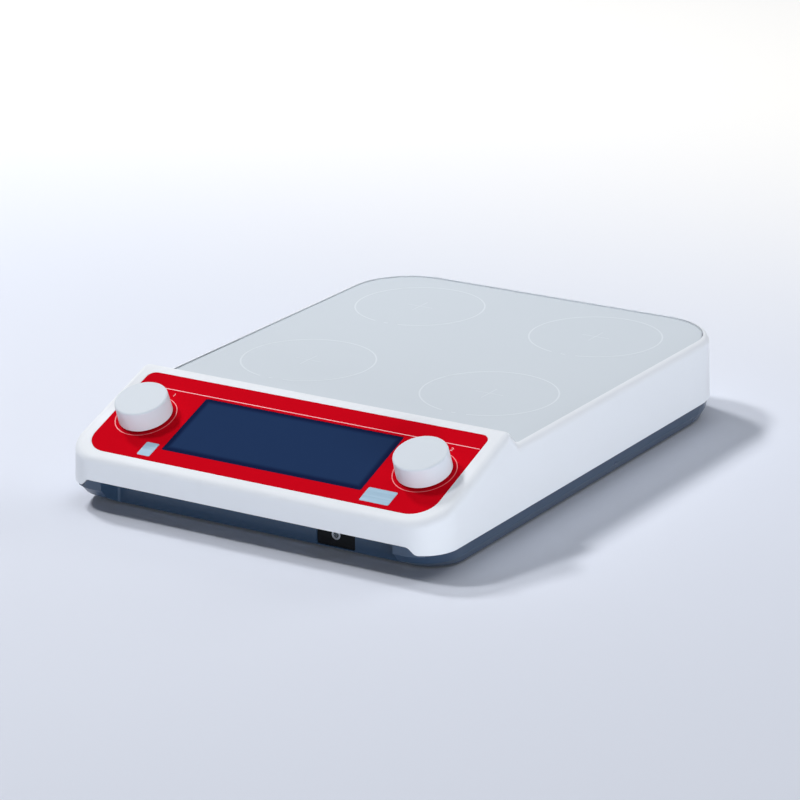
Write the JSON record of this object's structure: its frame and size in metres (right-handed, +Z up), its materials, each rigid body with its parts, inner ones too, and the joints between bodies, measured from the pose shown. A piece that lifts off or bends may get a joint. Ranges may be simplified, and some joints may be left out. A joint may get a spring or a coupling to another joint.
{
  "type": "multi-position magnetic stirrer",
  "caption": "Flat bench stirrer: a glass plate with marked stirring stations, a raised sloping control panel with push knobs and a display window, and a belt drive with magnet carriers inside.",
  "frame": {"origin": "middle of the footprint, on the surface that the feet stand on", "axes": "+Z up, +Y from the control panel to the rear, +X to the right of someone facing the panel"},
  "size_m": [0.262, 0.3669, 0.0669],
  "materials": {
    "casing": "glossy moulded",
    "plate": "satin glass-ceramic",
    "seal": "matt",
    "foil": "rolled foil",
    "insulation": "fibre board",
    "sensor": "plain",
    "base": "fine grained moulded",
    "feet": "matt",
    "screw": "zinc plated",
    "chassis": "sheet",
    "motor_case": "drawn",
    "steel": "ground",
    "pulley": "turned",
    "belt": "matt",
    "overlay": "satin film",
    "window": "glossy",
    "display_frame": "pressed",
    "board": "lacquered",
    "socket": "moulded",
    "contact": "plated",
    "rocker": "moulded",
    "jack": "plated",
    "bearing_housing": "turned",
    "bearing": "ground",
    "carrier": "moulded",
    "magnet": "nickel plated",
    "encoder": "pressed",
    "knob": "glossy moulded"
  },
  "bodies": {
    "housing": {"base_screws": "screw", "base_tray": "base", "bearing_housing_front_left": "bearing_housing", "bearing_housing_front_right": "bearing_housing", "bearing_housing_rear_left": "bearing_housing", "bearing_housing_rear_right": "bearing_housing", "bearing_screws": "screw", "bearings_front_left": "bearing", "bearings_front_right": "bearing", "bearings_rear_left": "bearing", "bearings_rear_right": "bearing", "board_screws": "screw", "case_top": "casing", "chassis_plate": "chassis", "chassis_screws": "screw", "control_board": "board", "display_module": "display_frame", "display_window": "window", "drive_belt": "belt", "encoder_body_left": "encoder", "encoder_body_right": "encoder", "encoder_nuts": "steel", "glass_plate": "plate", "heater_foils": "foil", "idler_arm": "chassis", "inlet_pins": "contact", "insulation_pads": "insulation", "motor_body": "motor_case", "motor_screws": "screw", "panel_overlay": "overlay", "plate_gasket": "seal", "power_board": "board", "power_inlet": "socket", "probe_jack": "jack", "probe_socket": "socket", "rubber_feet": "feet", "switch_frame": "socket", "temperature_sensors": "sensor"},
    "motor_rotor": {"motor_shaft": "steel", "motor_pulley": "pulley"},
    "idler": {"idler_pulley": "pulley"},
    "rocker": {"switch_rocker": "rocker"},
    "stirrer_front_left": {"spindle_front_left": "steel", "magnet_carrier_front_left": "carrier", "magnets_front_left": "magnet"},
    "stirrer_front_right": {"spindle_front_right": "steel", "magnet_carrier_front_right": "carrier", "magnets_front_right": "magnet"},
    "stirrer_rear_right": {"spindle_rear_right": "steel", "magnet_carrier_rear_right": "carrier", "magnets_rear_right": "magnet"},
    "stirrer_rear_left": {"spindle_rear_left": "steel", "magnet_carrier_rear_left": "carrier", "magnets_rear_left": "magnet"},
    "dial_left": {"encoder_rotor_left": "carrier"},
    "push_knob_left": {"knob_left": "knob", "encoder_shaft_left": "steel"},
    "dial_right": {"encoder_rotor_right": "carrier"},
    "push_knob_right": {"knob_right": "knob", "encoder_shaft_right": "steel"}
  },
  "joints": [
    {"name": "stir_front_left", "type": "hinge", "parent": "housing", "child": "stirrer_front_left", "pos_m": [-0.065, -0.01351, 0.03], "axis": [0, 0, 1], "continuous": true},
    {"name": "stir_front_right", "type": "hinge", "parent": "housing", "child": "stirrer_front_right", "pos_m": [0.065, -0.01351, 0.03], "axis": [0, 0, 1], "continuous": true},
    {"name": "stir_rear_right", "type": "hinge", "parent": "housing", "child": "stirrer_rear_right", "pos_m": [0.065, 0.11849, 0.03], "axis": [0, 0, 1], "continuous": true},
    {"name": "stir_rear_left", "type": "hinge", "parent": "housing", "child": "stirrer_rear_left", "pos_m": [-0.065, 0.11849, 0.03], "axis": [0, 0, 1], "continuous": true},
    {"name": "motor_spin", "type": "hinge", "parent": "housing", "child": "motor_rotor", "pos_m": [0, -0.05001, 0.03], "axis": [0, 0, 1], "continuous": true},
    {"name": "idler_spin", "type": "hinge", "parent": "housing", "child": "idler", "pos_m": [0, 0.13609, 0.03], "axis": [0, 0, 1], "continuous": true},
    {"name": "knob_left_turn", "type": "hinge", "parent": "housing", "child": "dial_left", "pos_m": [-0.09743, -0.14104, 0.04904], "axis": [0, -0.3502, 0.9367], "continuous": true},
    {"name": "knob_left_push", "type": "slide", "parent": "dial_left", "child": "push_knob_left", "axis": [0, 0.3502, -0.9367], "range_m": [0, 0.0005], "stiffness_N_per_m": 2000, "springref_m": -0.001},
    {"name": "knob_right_turn", "type": "hinge", "parent": "housing", "child": "dial_right", "pos_m": [0.09743, -0.14104, 0.04904], "axis": [0, -0.3502, 0.9367], "continuous": true},
    {"name": "knob_right_push", "type": "slide", "parent": "dial_right", "child": "push_knob_right", "axis": [0, 0.3502, -0.9367], "range_m": [0, 0.0005], "stiffness_N_per_m": 2000, "springref_m": -0.001},
    {"name": "power_switch", "type": "hinge", "parent": "housing", "child": "rocker", "pos_m": [-0.024, 0.17731, 0.03575], "axis": [1, 0, 0], "range_deg": [0, 16]}
  ],
  "couplings": [
    {"joint": "stir_front_right", "follows": "stir_front_left", "ratio": 1},
    {"joint": "stir_rear_right", "follows": "stir_front_left", "ratio": 1},
    {"joint": "stir_rear_left", "follows": "stir_front_left", "ratio": 1},
    {"joint": "motor_spin", "follows": "stir_front_left", "ratio": 1.5914},
    {"joint": "idler_spin", "follows": "stir_front_left", "ratio": -1.6818}
  ]
}
